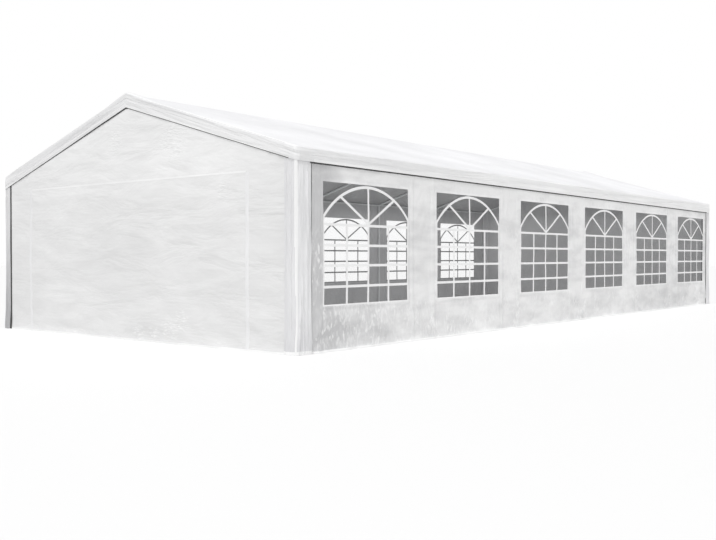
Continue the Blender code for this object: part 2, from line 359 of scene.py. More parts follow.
# %% [markdown]
# ## Clear foil, printed bars, a painted shadow line and steel
#
# The panes are soft PVC foil, and clear. What we see is what lies behind it, so its alpha is
# very low, and a slow ripple bends its gloss. The bars on it are printed in white. Their
# backs are painted a plain grey as painted shade, so those of the far side are dark lines
# against the daylight. Under the hem of the roof a dark strip peeps out, which is a painted
# shadow line. The tubes are steel dipped in zinc, which leaves cloudy grains a couple of
# centimetres wide.

# %% Foil, film and painted shadow line
# Scales, in a metre.
RIPPLES = 3.0
INK_CLOUDS = 14.0
SHADOW_GRAIN = 60.0

RIPPLE_DEPTH = 0.01
foil, tree, shader, place = new_material("clear_pvc_foil")
shader.inputs["Base Color"].default_value = colour("#F0F2F4")
shader.inputs["Roughness"].default_value = 0.08
shader.inputs["Alpha"].default_value = 0.03
ripple = add_node(tree, "TexNoise", place, inputs={"Scale": RIPPLES})["Fac"]
bent = add_node(tree, "Bump", inputs={"Distance": RIPPLE_DEPTH, "Height": ripple})[0]
tree.links.new(bent, shader.inputs["Normal"])


def printed_film(name, tone, shade):
    """Ink on foil, which comes out a little uneven."""
    made, tree, shader, place = new_material(name)
    uneven = add_node(tree, "TexNoise", place, inputs={"Scale": INK_CLOUDS, "Detail": 3.0})["Fac"]
    inked = add_node(tree, "Mix", uneven, inputs={6: shade, 7: tone}, data_type="RGBA")[2]
    tree.links.new(inked, shader.inputs["Base Color"])
    shader.inputs["Roughness"].default_value = 0.35
    return made


film = printed_film("printed_white_film", "#FFFFFF", "#F6F6F6")
# The bars' backs are painted grey as painted shade, so they show dark against the daylight.
film_back_shade = printed_film("printed_film_back", "#A8A8A9", "#9C9C9D")

# A dark strip where shade falls under the hem and beside the sleeves: a painted shadow line, with an
# uneven tone.
painted_shadow_finish, tree, shader, place = new_material("painted_shadow_line")
weave = add_node(tree, "TexNoise", place, inputs={"Scale": SHADOW_GRAIN})["Fac"]
woven = add_node(tree, "Mix", weave, inputs={6: "#3A3A3A", 7: "#4C4C4C"}, data_type="RGBA")[2]
tree.links.new(woven, shader.inputs["Base Color"])
shader.inputs["Roughness"].default_value = 0.8
print("clear or printed:", foil.name, film.name, film_back_shade.name)

# %% Steel
GRAIN_WIDTH = 0.022  # in metres, as a cloudy grain is on a real tube
zinc, tree, shader, place = new_material("galvanised_steel")
grain = add_node(tree, "TexVoronoi", place, inputs={"Scale": 1 / GRAIN_WIDTH})["Distance"]
spangle = add_node(tree, "Mix", grain, inputs={6: "#EAECED", 7: "#F8F9F9"}, data_type="RGBA")[2]
tree.links.new(spangle, shader.inputs["Base Color"])
dull = add_node(tree, "MapRange", grain, 0.0, 1.0, 0.40, 0.55)[0]
tree.links.new(dull, shader.inputs["Roughness"])
shader.inputs["Metallic"].default_value = 0.15

for name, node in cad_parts.items():
    if name.startswith("portal_frame") or "purlin" in name:
        node.data.materials.clear()
        node.data.materials.append(zinc)
print("steel nodes:", sum(node.data.materials[0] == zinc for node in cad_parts.values()))

# %% [markdown]
# ## How a flat grid becomes a sheet of cloth
#
# Every sheet here starts as a flat grid of small squares. A function moves each corner of the
# squares to its place on the tent and adds the folds there. Then the sheet gets its
# thickness, inwards, and edges that turn sharply are shaded as edges. Real tarpaulin is a
# quarter of a millimetre thick, and 1.5 mm keeps its edges from flickering in the render.

# %% Sheets
CLOTH = 0.0015
CLOTH_STEP = 0.04
ACROSS = (1, 0, 0)
UP = (0, 1, 0)
SIDES = {"left": -1, "right": 1}
ENDS = {"front": -1, "back": 1}


def flat_grid(width, height, step, origin=(0.0, 0.0)):
    """A grid in the XY plane, from origin to origin plus the size."""
    mesh = bmesh.new()
    middle = Vector((origin[0] + width / 2, origin[1] + height / 2, 0.0))
    bmesh.ops.create_grid(
        mesh,
        x_segments=max(1, round(width / step)),
        y_segments=max(1, round(height / step)),
        size=0.5,
        matrix=Matrix.Translation(middle) @ Matrix.Diagonal((width, height, 1.0, 1.0)),
    )
    return mesh


def cut(mesh, point, normal, drop_outer=False):
    """A straight cut right across a flat mesh, which can also drop what lies beyond it."""
    everything = mesh.verts[:] + mesh.edges[:] + mesh.faces[:]
    bmesh.ops.bisect_plane(
        mesh, geom=everything, dist=1e-5, plane_co=point, plane_no=normal, clear_outer=drop_outer
    )


def cut_at(mesh, way, *places):
    """Cuts a flat mesh at each of the places along a way, which is ACROSS or UP."""
    for place in places:
        cut(mesh, place * Vector(way), way)


def drop_faces(mesh, unwanted):
    """Deletes the faces whose middle passes the test, with the edges that only they use."""
    gone = [face for face in mesh.faces if unwanted(face.calc_center_median())]
    bmesh.ops.delete(mesh, geom=gone, context="FACES")


def turn_outwards(mesh, outwards):
    mesh.normal_update()
    facing = sum((face.normal * face.calc_area() for face in mesh.faces), Vector())
    if facing.dot(Vector(outwards)) < 0:
        bmesh.ops.reverse_faces(mesh, faces=mesh.faces[:])


def thicken(mesh, depth):
    """Gives an open sheet its thickness, on the side that its faces turn away from."""
    mesh.normal_update()
    bmesh.ops.solidify(mesh, geom=mesh.faces[:], thickness=depth)
    bmesh.ops.recalc_face_normals(mesh, faces=mesh.faces[:])


def mark(mesh, number, wanted):
    """Gives the faces whose middle passes the test another one of their piece's materials."""
    for face in mesh.faces:
        if wanted(face.calc_center_median()):
            face.material_index = number


def mark_inside(mesh, number, outwards):
    """Gives the faces that look into the tent another one of their piece's materials."""
    for face in mesh.faces:
        if face.normal.dot(Vector(outwards)) < -0.5:
            face.material_index = number


def piece(name, mesh, *materials, slot="white_tarpaulin", replaced=()):
    """Makes the mesh an object of the tent that rides on its one body."""
    data = bpy.data.meshes.new(name)
    mesh.to_mesh(data)
    mesh.free()
    for material in materials:
        data.materials.append(material)
    data.shade_smooth()
    data.set_sharp_from_angle(angle=math.radians(50))
    made = in_scene(name, data)
    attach(made, "root")
    if replaced:
        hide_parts(*replaced)
    return made


def ease(low, high, value):
    """From 0 to 1 as value goes from low to high, starting and ending gently."""
    t = min(max((value - low) / (high - low), 0.0), 1.0)
    return t * t * (3 - 2 * t)


def swell(a, b, seed):
    """Smooth ups and downs, about -0.5 to 0.5."""
    return noise.noise(Vector((a, b, seed)))


def crests(a, b, seed):
    """Sharp-crested folds on a smooth ground, about 0 to 1."""
    return 1.0 - min(1.0, 3.0 * abs(noise.noise(Vector((a, b, seed)))))


print("cloth:", 1000 * CLOTH, "mm thick, in squares of", 1000 * CLOTH_STEP, "mm")

# %% [markdown]
# ## The roof cover
#
# On the real tent both slopes, the strips that hang along the eaves and those along the
# gables are one sewn cover, drawn tight over the tubes. So it is one mesh: a grid folded at
# the ridge and rounded at its corners, whose rim is extruded downwards row by row, with its
# folds bevelled to the curve of the tubes inside. Between two frames the cloth dips a little,
# and the hanging rim waves.

# %% Roof shape
slope_low, slope_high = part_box("roof_slope_right")
HALF_WIDTH = slope_high.x
HALF_LENGTH = slope_high.y
RIDGE = slope_high.z
SLOPE_UPRIGHT = 0.0042  # the thickness of the solid slopes, measured upright
EAVE = slope_low.z + SLOPE_UPRIGHT
FALL = (RIDGE - EAVE) / HALF_WIDTH
BAY = 2.0
RIM_LEVELS = (0.030, 0.060, 0.088, 0.112, 0.122, 0.152)
RIM_DROP = RIM_LEVELS[-1]
LINE_FROM, HEM_FROM = RIM_LEVELS[3:5]
LINE_HALF = 2.3  # where the line along a gable's slope ends, from the ridge
SHADOW_ABOVE = 0.012  # how far the painted shadow strip reaches up behind the hem
FOLD_RADIUS = 0.022
CORNER_RADIUS = 0.045
ROOF_STEP = 0.05
SLEEVE_WIDER = 0.02
SLEEVE_ON_SIDE = -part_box("corner_sleeve_front_right")[1].y - SLEEVE_WIDER
SLEEVE_ON_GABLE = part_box("corner_sleeve_front_right")[0].x


def roof_line(x):
    return RIDGE - FALL * abs(x)


def rim_way(at):
    """The outward direction at a point of the hanging rim, and None for a point of the slopes."""
    past_x = abs(at.x) - HALF_WIDTH + CORNER_RADIUS
    past_y = abs(at.y) - HALF_LENGTH + CORNER_RADIUS
    beyond = Vector((max(past_x, 0.0), max(past_y, 0.0)))
    if beyond.length < CORNER_RADIUS - 0.004:
        return None
    return Vector((math.copysign(beyond.x, at.x), math.copysign(beyond.y, at.y))).normalized()


def between_frames(y):
    """0 at each frame and 1 halfway to the next."""
    return math.sin(math.pi * y / BAY) ** 2


def roof_dip(x, y):
    """How far the cloth hangs below a straight line from ridge to eave."""
    down = min(abs(x) / HALF_WIDTH, 1.0)
    across = math.sin(math.pi * down) ** 0.8 if 0 < down < 1 else 0.0
    tight = 0.020 * between_frames(y) * across
    ripple = 0.010 * swell(x * 0.7, y * 1.3, 3.0) * across * between_frames(y)
    creases = 0.005 * crests(x * 0.5 + y * 0.4, y * 1.6, 8.0) * across
    # The ridge fitting of an end frame lifts the cover into a small peak.
    near_end = ease(HALF_LENGTH - 0.3, HALF_LENGTH - 0.05, abs(y))
    peak = 0.025 * math.exp(-((x / 0.30) ** 2)) * near_end
    return tight + ripple - 0.3 * creases - peak


def rim_flare(along, depth, half):
    """How far the hanging rim stands out, from its fold (depth 0) to its hem (depth 1)."""
    wave = 0.5 + swell(along * 1.1, 0.3, 5.0) + 0.5 * swell(along * 4.0, 0.3, 6.0)
    # It is drawn in below the fold, but not over the corner sleeves.
    clear = 1 - ease(half - 0.45, half - 0.26, abs(along))
    drawn = 0.005 * math.sin(0.9 * math.pi * depth) * clear
    # Creases along the rim wander slowly up and down it.
    creases = 0.0
    for level, seed in ((0.30, 5.5), (0.62, 9.5)):
        off = depth - level - 0.25 * swell(along * 0.5, 0.0, seed)
        creases += 0.003 * math.exp(-((off / 0.10) ** 2))
    gathers = 0.005 * crests(along * 5.0, depth * 1.2, 7.5) * ease(half - 1.6, half, abs(along))
    stands = depth * (0.001 + 0.003 * max(wave, 0.0)) + gathers * ease(0.1, 0.5, depth)
    return stands + creases - drawn


print("ridge at", round(RIDGE, 3), "and eave at", round(EAVE, 3))

# %% [markdown]
# The rim is pushed out after the bevel, by the depth of each point under the roof line. At a
# corner both the gable's and the eave's push apply, so the corner stays closed.

# %% Folded grid of the roof
roof = flat_grid(2 * HALF_WIDTH, 2 * HALF_LENGTH, ROOF_STEP, (-HALF_WIDTH, -HALF_LENGTH))
corners = [vert for vert in roof.verts if len(vert.link_edges) == 2]
round_off = {"segments": 4, "profile": 0.5, "material": -1}
bmesh.ops.bevel(roof, geom=corners, offset=CORNER_RADIUS, affect="VERTICES", **round_off)
for point in roof.verts:
    point.co.z = roof_line(point.co.x)
rim = [edge for edge in roof.edges if edge.is_boundary]
folds = list(rim)
level = 0.0
for next_level in RIM_LEVELS:
    made = bmesh.ops.extrude_edge_only(roof, edges=rim)["geom"]
    lowered = [part for part in made if isinstance(part, bmesh.types.BMVert)]
    bmesh.ops.translate(roof, verts=lowered, vec=(0.0, 0.0, level - next_level))
    rim = [part for part in made if isinstance(part, bmesh.types.BMEdge) and part.is_boundary]
    level = next_level
bmesh.ops.bevel(roof, geom=folds, offset=FOLD_RADIUS, affect="EDGES", **round_off)
print("folded grid:", len(roof.faces), "faces")


# %% How the roof hangs, and its doubled parts
def hang_rim(at):
    """Where a point of the folded grid hangs."""
    way = rim_way(at)
    depth = min(max((roof_line(at.x) - at.z) / RIM_DROP, 0.0), 1.0)
    # The cover sits a little askew, so its hem hangs lower at two opposite corners.
    askew = 0.02 + 0.12 * (at.x / HALF_WIDTH) * (at.y / HALF_LENGTH)
    lower = roof_dip(at.x, at.y) * (1 - depth) + depth * RIM_DROP * askew
    if way is None:
        return at - Vector((0, 0, lower))
    flare = way.x**2 * rim_flare(at.y, depth, HALF_LENGTH)
    flare += way.y**2 * rim_flare(at.x, depth, HALF_WIDTH)
    return at + Vector((way.x * flare, way.y * flare, -lower))


def in_gable_trim(at):
    way = rim_way(at)
    return abs(at.y) > HALF_LENGTH - 0.06 if way is None else abs(way.y) > 0.7


def in_hem(at):
    """The doubled hem: a broad one along the eaves, and a line along a gable's left slope."""
    depth = roof_line(at.x) - at.z
    if in_gable_trim(at):
        return at.x * at.y > 0 and abs(at.x) < LINE_HALF and LINE_FROM < depth < HEM_FROM
    return depth > HEM_FROM and abs(at.y) < SLEEVE_ON_SIDE


print("line along a slope:", round(1000 * (HEM_FROM - LINE_FROM)), "mm wide")

# %% Roof cover
mark(roof, 1, lambda at: in_gable_trim(at) or rim_way(at) is not None)
mark(roof, 2, in_hem)
for point in roof.verts:
    point.co = hang_rim(point.co)
turn_outwards(roof, (0, 0, 1))

# The painted shadow line under the hem is taken from the roof's own edge, so that the two stay
# together. It stops where the hem lies on a corner sleeve.
hem_edges = [edge for edge in roof.edges if edge.is_boundary]
shadow_strip = bmesh.new()
copies = {}
for edge in hem_edges:
    past_x = min(abs(vert.co.x) for vert in edge.verts) - SLEEVE_ON_GABLE
    past_y = min(abs(vert.co.y) for vert in edge.verts) - SLEEVE_ON_SIDE
    if past_x > 0.01 and past_y > 0:
        continue
    for vert in edge.verts:
        if vert not in copies:
            copies[vert] = shadow_strip.verts.new(vert.co + Vector((0, 0, SHADOW_ABOVE)))
    shadow_strip.edges.new([copies[vert] for vert in edge.verts])
thicken(roof, CLOTH)
mark_inside(roof, 3, (0, 0, 1))
covers = ("roof_slope", "eave_valance", "front_gable_trim", "back_gable_trim")
roof_cover = piece(
    "roof_cover",
    roof,
    roof_tarpaulin,
    trim_tarpaulin,
    double_tarpaulin,
    roof_underside_shade,
    replaced=[f"{part}_{side}" for part in covers for side in SIDES],
)
print("roof cover:", len(roof_cover.data.polygons), "faces")

# %% [markdown]
# ## The painted shadow under the hem
#
# Where the rim ends a dark line of shade shows between it and the wall. It is painted as a
# narrow dark strip on the inside of the hem, by pushing the copied edge down past the hem.

# %% Hem tape
SHADOW_BEHIND = 0.0022
SHADOW_DEPTH = 0.0006


def shadow_shows(at):
    """How far the painted shadow line shows below the hem: least under one slope of each gable."""
    if abs(at.y) < HALF_LENGTH - 0.004:
        return 0.015
    return 0.007 if at.x * at.y < 0 else 0.019 - 0.005 * abs(at.x)


made = bmesh.ops.extrude_edge_only(shadow_strip, edges=shadow_strip.edges[:])["geom"]
for part in made:
    if isinstance(part, bmesh.types.BMVert):
        part.co.z -= shadow_shows(part.co) + SHADOW_ABOVE
for point in shadow_strip.verts:
    point.co -= SHADOW_BEHIND * rim_way(point.co).to_3d()
thicken(shadow_strip, SHADOW_DEPTH)
roof_shadow_strip = piece("roof_shadow_strip", shadow_strip, painted_shadow_finish)
print("hem tape:", len(roof_shadow_strip.data.polygons), "faces")

# %% [markdown]
# ## The side walls
#
# Each long side is one sheet with six welded windows. It hangs from the eave tube, so its top
# is straight. It bellies out between the legs, and it is crumpled below the windows, where
# nothing holds it. The grid is cut along the edges of the windows, and the squares inside
# them are dropped. The same function will bend the foil and the bars, so that they follow the
# wall.

# %% Side wall shape
wall_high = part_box("side_wall_right")[1]
WALL_FACE = wall_high.x
WALL_END = wall_high.y
WALL_TOP = wall_high.z
window_boxes = {
    side: [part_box(f"window_{side}_{number}") for number in range(1, 7)] for side in SIDES
}
first_low, first_high = window_boxes["right"][0]
SILL = first_low.z
HEAD = first_high.z
WINDOW_HALF = (first_high.y - first_low.y) / 2
RIM_BOTTOM = EAVE - RIM_DROP


def wall_swell(y, z, side):
    """How far a side wall stands out from its plane."""
    seed = 11.0 * side
    belly = 0.006 * between_frames(y) * math.sin(math.pi * min(z / 1.9, 1.0))
    skirt = 1 - ease(SILL - 0.14, SILL + 0.03, z)
    corner = ease(4.9, 5.9, abs(y))
    crush = 0.014 * crests(y * 2.6, z * 3.8, seed) + 0.009 * crests(y * 6.0 + z, z * 7.0, seed + 2)
    crush += 0.014 * swell(y * 3.3, z * 2.4, seed + 4)
    panel = 0.006 * swell(y * 1.7, z * 2.0, seed + 6) + 0.003 * crests(y * 1.2, z * 5.0, seed + 8)
    hem = 0.008 * (1 - ease(0.0, 0.07, z))
    out = max(belly + skirt * (0.7 + 0.6 * corner) * crush + panel + hem, -0.001)
    # It lies flat under the roof's rim and under the corner sleeves.
    out *= 1 - ease(RIM_BOTTOM - 0.06, RIM_BOTTOM - 0.005, z)
    return out * (1 - 0.9 * ease(SLEEVE_ON_SIDE - 0.07, SLEEVE_ON_SIDE - 0.01, abs(y)))


def on_wall(side, y, z, proud=0.0):
    sign = SIDES[side]
    return Vector((sign * (WALL_FACE + wall_swell(y, z, sign) + proud), y, z))


print("windows from", round(SILL, 3), "to", round(HEAD, 3))

# %% [markdown]
# Where two widths of tarpaulin are welded together, and round each window and along the
# bottom hem, the sheet is double. A pair of cuts 2 mm apart makes the step up to the doubled
# band, so its edge stays sharp although the squares of the grid are wide.

# %% Doubled bands of a side wall
DOUBLED = 0.0013
STEP = 0.001
SEAM_OFF = 0.045
SEAM_WIDTH = 0.062
WELD = 0.020
HEM = 0.020


def seam_spans(side):
    """The upright seams beside each window, as spans along Y."""
    spans_found = []
    for low, high in window_boxes[side]:
        spans_found.append((high.y + SEAM_OFF, high.y + SEAM_OFF + SEAM_WIDTH))
        spans_found.append((low.y - SEAM_OFF - SEAM_WIDTH, low.y - SEAM_OFF))
    return spans_found


def is_doubled(side, y, z):
    in_seam = any(low < y < high for low, high in seam_spans(side))
    round_window = SILL - WELD < z < HEAD + WELD and any(
        low.y - WELD < y < high.y + WELD for low, high in window_boxes[side]
    )
    return in_seam or round_window or z < HEM


def cut_bands(wall, side):
    """Cuts a wall along the edges of its windows, and in pairs along those of its bands."""
    along = [edge for span in seam_spans(side) for edge in span]
    for low, high in window_boxes[side]:
        cut_at(wall, ACROSS, low.y, high.y)
        along += [low.y - WELD, high.y + WELD]
    cut_at(wall, UP, SILL, HEAD)
    for at in along:
        cut_at(wall, ACROSS, at - STEP, at + STEP)
    for at in (HEM, SILL - WELD, HEAD + WELD):
        cut_at(wall, UP, at - STEP, at + STEP)


print("seams on a side:", len(seam_spans("right")))

# %% Side walls
for side, sign in SIDES.items():
    wall = flat_grid(2 * WALL_END, WALL_TOP, CLOTH_STEP, (-WALL_END, 0.0))
    cut_bands(wall, side)
    drop_faces(
        wall,
        lambda at: SILL < at.y < HEAD
        and any(low.y < at.x < high.y for low, high in window_boxes[side]),
    )
    mark(wall, 1, lambda at: at.y < HEM)
    for point in wall.verts:
        y, z = point.co.x, point.co.y
        point.co = on_wall(side, y, z, DOUBLED if is_doubled(side, y, z) else 0.0)
    turn_outwards(wall, (sign, 0, 0))
    thicken(wall, CLOTH)
    mark_inside(wall, 2, (sign, 0, 0))
    made = piece(
        f"side_sheet_{side}",
        wall,
        side_tarpaulin,
        double_tarpaulin,
        wall_inside_shade,
        replaced=[f"side_wall_{side}"],
    )
    print(made.name, len(made.data.polygons), "faces")

# %% [markdown]
# ## The windows
#
# A window is a pane of foil, with white bars printed on it that draw an arched casement:
# three uprights and four rails below, and a fan of three rays under an arch. The uprights and
# rails are cut from one grid, so that their crossings are whole. The arch is part of a circle
# that is wider than the window, so it is an edge spun through half a turn and then cut off at
# the window's sides.

# %% Bars of a window
RAIL = 0.027
BAR = 0.029
RAILS = (1.274, 1.066, 0.861, 0.648)
UPRIGHTS = (-0.350, 0.0, 0.350)
RAYS_FROM = 1.290
ARCH_RADIUS = 0.944
ARCH_TOP = 1.676
ARCH_MIDDLE = ARCH_TOP - ARCH_RADIUS
RAY_ANGLES = (31.0, 90.0, 149.0)
EDGE_BAR = 0.016
PROUD_RAIL = 0.0012
PROUD_ARCH = 0.0020
FILM_DEPTH = 0.0009
FOIL_DEPTH = 0.0008
BAR_STEP = 0.09
PANE_STEP = 0.06
ARCH_STEPS = 56
RAY_SHORT = 0.004  # a ray ends just before the middle of the arch


def spans(middles, half):
    return [(middle - half, middle + half) for middle in middles]


def straight_bars():
    """The rails, the uprights and the bar round the lower part, in a window's own flat plane."""
    mesh = flat_grid(2 * WINDOW_HALF, HEAD - SILL, BAR_STEP, (-WINDOW_HALF, SILL))
    rails = spans(RAILS, RAIL / 2)
    uprights = spans(UPRIGHTS, BAR / 2)
    inner = WINDOW_HALF - EDGE_BAR
    arch_foot = ARCH_MIDDLE + math.sqrt(ARCH_RADIUS**2 - WINDOW_HALF**2)
    cut_at(mesh, ACROSS, *[edge for span in uprights for edge in span], -inner, inner)
    cut_at(mesh, UP, *[edge for span in rails for edge in span], SILL + EDGE_BAR)
    cut(mesh, (0, arch_foot, 0), UP, drop_outer=True)

    def open_glass(at):
        at_edge = abs(at.x) > inner or at.y < SILL + EDGE_BAR
        in_rail = any(low < at.y < high for low, high in rails)
        in_upright = at.y < RAILS[0] and any(low < at.x < high for low, high in uprights)
        return not (at_edge or in_rail or in_upright)

    drop_faces(mesh, open_glass)
    return mesh


def arch():
    """An edge spun round the middle of the arch, and cut off at the sides of the window."""
    mesh = bmesh.new()
    inner, outer = ARCH_RADIUS - BAR / 2, ARCH_RADIUS + BAR / 2
    ends = [mesh.verts.new((inner, 0, 0)), mesh.verts.new((outer, 0, 0))]
    start = [mesh.edges.new(ends)]
    half_turn = {"axis": (0, 0, 1), "cent": (0, 0, 0), "angle": math.pi, "steps": ARCH_STEPS}
    bmesh.ops.spin(mesh, geom=ends + start, **half_turn)
    bmesh.ops.translate(mesh, verts=mesh.verts, vec=(0, ARCH_MIDDLE, 0))
    for side in (-1, 1):
        cut(mesh, (side * WINDOW_HALF, 0, 0), (side, 0, 0), drop_outer=True)
    return mesh


def ray(degrees):
    """A bar from the middle of the top rail to the arch."""
    angle = math.radians(degrees)
    # The distance to the arch solves a square equation in the ray's own direction.
    rise = (RAYS_FROM - ARCH_MIDDLE) * math.sin(angle)
    reach = -rise + math.sqrt(rise**2 + ARCH_RADIUS**2 - (RAYS_FROM - ARCH_MIDDLE) ** 2)
    mesh = flat_grid(reach - RAY_SHORT, RAIL, PANE_STEP, (0.0, -RAIL / 2))
    place = Matrix.Translation((0, RAYS_FROM, 0)) @ Matrix.Rotation(angle, 4, "Z")
    bmesh.ops.transform(mesh, matrix=place, verts=mesh.verts)
    return mesh


def joined(meshes):
    """All the meshes as one, and the parts that went in are freed."""
    whole = bmesh.new()
    for part in meshes:
        data = bpy.data.meshes.new("part")
        part.to_mesh(data)
        part.free()
        whole.from_mesh(data)
        bpy.data.meshes.remove(data)
    return whole


print("bars of a window:", len(RAILS), "rails,", len(UPRIGHTS), "uprights,", len(RAY_ANGLES), "rays")

# %% [markdown]
# The flat parts are laid on the wall by the function that shaped it, each a little prouder
# than what lies under it, and then they get their thickness.

# %% Windows
def laid(mesh, side, middle, proud, depth):
    for point in mesh.verts:
        point.co = on_wall(side, middle + point.co.x, point.co.y, proud)
    turn_outwards(mesh, (SIDES[side], 0, 0))
    thicken(mesh, depth)
    return mesh


for side in SIDES:
    for number, (low, high) in enumerate(window_boxes[side], 1):
        middle = (low.y + high.y) / 2
        parts = [laid(straight_bars(), side, middle, PROUD_RAIL, FILM_DEPTH)]
        for curve in [arch()] + [ray(angle) for angle in RAY_ANGLES]:
            parts.append(laid(curve, side, middle, PROUD_ARCH, FILM_DEPTH))
        casement = joined(parts)
        mark_inside(casement, 1, (SIDES[side], 0, 0))
        bars = piece(f"window_bars_{side}_{number}", casement, film, film_back_shade)
        pane = flat_grid(2 * WINDOW_HALF, HEAD - SILL, PANE_STEP, (-WINDOW_HALF, SILL))
        glass = piece(
            f"window_foil_{side}_{number}",
            laid(pane, side, middle, 0.0, FOIL_DEPTH),
            foil,
            slot="clear_foil",
            replaced=[f"window_{side}_{number}"],
        )
print("windows:", len(window_boxes["left"]) + len(window_boxes["right"]))

# %% [markdown]
# ## The gables
#
# A gable is one sheet up to the ridge, with a wide door sheet between two zips. It hangs
# freely between the corner legs, so it bellies and keeps the level creases of its packing.
# Near its edges it lies flat against the tubes, so there the folds fade out.

# %% Gable shape
door_low, door_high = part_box("front_door_sheet")
GABLE_FACE = -door_low.y
DOOR_HALF = door_high.x
DOOR_TOP = door_high.z
GABLE_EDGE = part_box("front_gable_strip_right")[1].x
GABLE_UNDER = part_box("front_gable_top")[1].z


def gable_swell(x, z, end):
    """How far a gable stands out from its plane."""
    seed = 7.0 * end
    under_roof = GABLE_UNDER - FALL * abs(x) - z
    free = ease(0.0, 0.30, GABLE_EDGE - abs(x)) * ease(0.17, 0.45, under_roof)
    belly = 0.030 * math.cos(math.pi * x / 5.2) * math.sin(math.pi * min(z / 2.3, 1.0))
    level = 0.004 * crests(x * 0.45, z * 3.1, seed) + 0.002 * crests(x * 1.1, z * 7.0, seed + 1)
    slow = 0.012 * swell(x * 0.8, z * 1.6, seed + 2)
    low_part = 1 - ease(0.15, 0.55, z)
    puffs = 0.009 * low_part * crests(x * 1.8, z * 4.5 + x * 0.6, seed + 3)
    # A pull runs from beside the door's foot down to the corner.
    off_line = abs(abs(x) - 1.95 + 1.6 * (z - 0.36)) / 1.9
    pull = 0.006 * math.exp(-((off_line / 0.03) ** 2)) * ease(1.9, 2.0, abs(x))
    hem = 0.008 * (1 - ease(0.0, 0.06, z))
    return max((belly + level + slow + puffs + pull) * free, -0.001) + hem


def on_gable(end, x, z, proud=0.0):
    sign = ENDS[end]
    return Vector((x, sign * (GABLE_FACE + gable_swell(x, z, sign) + proud), z))


def whole_gable():
    mesh = flat_grid(2 * GABLE_EDGE, GABLE_UNDER, CLOTH_STEP, (-GABLE_EDGE, 0.0))
    for side in (-1, 1):
        cut(mesh, (0, GABLE_UNDER, 0), (side * FALL, 1, 0), drop_outer=True)
        cut_at(mesh, ACROSS, side * DOOR_HALF)
    cut_at(mesh, UP, DOOR_TOP, HEM)
    mark(mesh, 1, lambda at: at.y < HEM)
    return mesh


def in_door(at):
    return abs(at.x) < DOOR_HALF and at.y < DOOR_TOP


print("door sheet:", round(2 * DOOR_HALF, 3), "by", round(DOOR_TOP, 3))

# %% Gable sheets
gable_area = 2 * GABLE_EDGE * (GABLE_UNDER - FALL * GABLE_EDGE / 2)
door_area = 2 * DOOR_HALF * DOOR_TOP
# Each part has what is cut away, its area, its flat size and the solids that it stands for.
parts = {
    "gable": (
        in_door,
        gable_area - door_area,
        (2 * GABLE_EDGE, GABLE_UNDER),
        ("gable_strip_left", "gable_strip_right", "gable_top"),
    ),
    "door": (
        lambda at: not in_door(at),
        door_area,
        (2 * DOOR_HALF, DOOR_TOP),
        ("door_sheet",),
    ),
}
for end, sign in ENDS.items():
    for part, (unwanted, area, flat, nodes) in parts.items():
        cloth = whole_gable()
        drop_faces(cloth, unwanted)
        for point in cloth.verts:
            point.co = on_gable(end, point.co.x, point.co.y)
        turn_outwards(cloth, (0, sign, 0))
        thicken(cloth, CLOTH)
        mark_inside(cloth, 2, (0, sign, 0))
        made = piece(
            f"{end}_{part}_cloth",
            cloth,
            gable_tarpaulin,
            double_tarpaulin,
            wall_inside_shade,
            replaced=[f"{end}_{node}" for node in nodes],
        )
        print(made.name, len(made.data.polygons), "faces")

# %% [markdown]
# ## Zips and seams
#
# Each zip is a tape sewn over the cut, with its coil as a low ridge down the middle. The seam
# over the door is a plain doubled strip. Both are narrow grids laid on the gable by its own
# function, as the bars were laid on the wall.

# %% Zips
ZIP_WIDTH = 0.044
ZIP_FOOT = 0.02
COIL_HALF = 0.005
COIL_HEIGHT = 0.0020
STRIP_WIDTH = 0.020
STRIP_FOOT = 0.004  # how far the strip reaches below the door's top
STRIP_GAP = 0.002  # between the strip and each zip
SEWN_STEP = 0.05
SEWN_PROUD = 0.0010
SEWN_DEPTH = 0.0007


def sewn_on(mesh, end, raised):
    """Lays a flat strip on the gable, and raises it further by raised(x)."""
    for point in mesh.verts:
        x, z = point.co.x, point.co.y
        point.co = on_gable(end, x, z, SEWN_PROUD + raised(x))
    turn_outwards(mesh, (0, ENDS[end], 0))
    thicken(mesh, SEWN_DEPTH)
    return mesh


def coil(middle):
    """The height of a zip's coil at each x: most on its middle line."""
    return lambda x: COIL_HEIGHT * max(0.0, 1 - abs(x - middle) / COIL_HALF)


for end in ENDS:
    strips = []
    for side in (-1, 1):
        middle = side * DOOR_HALF
        at = (middle - ZIP_WIDTH / 2, ZIP_FOOT)
        tape = flat_grid(ZIP_WIDTH, DOOR_TOP - ZIP_FOOT, SEWN_STEP, at)
        cut_at(tape, ACROSS, middle - COIL_HALF, middle, middle + COIL_HALF)
        strips.append(sewn_on(tape, end, coil(middle)))
    length = 2 * DOOR_HALF - ZIP_WIDTH - 2 * STRIP_GAP
    seam = flat_grid(length, STRIP_WIDTH, SEWN_STEP, (-length / 2, DOOR_TOP - STRIP_FOOT))
    strips.append(sewn_on(seam, end, lambda x: 0.0))
    closing = joined(strips)
    mark(closing, 1, lambda at: abs(at.x) < length / 2 and at.z > DOOR_TOP - STRIP_WIDTH)
    piece(f"{end}_zips_and_seam", closing, zip_tarpaulin, double_tarpaulin)
print("zips:", 2 * len(ENDS))

# %% [markdown]
# ## The corner sleeves
#
# At each corner the gable's sheet is wrapped round the leg and tied back along the side. It
# is a grid whose width is bent round the leg: a straight run on the side, a quarter turn, and
# a straight run on the gable. Pleats run down the part on the side, and two wide rolls down
# the part on the gable, which wander a little from the upright.

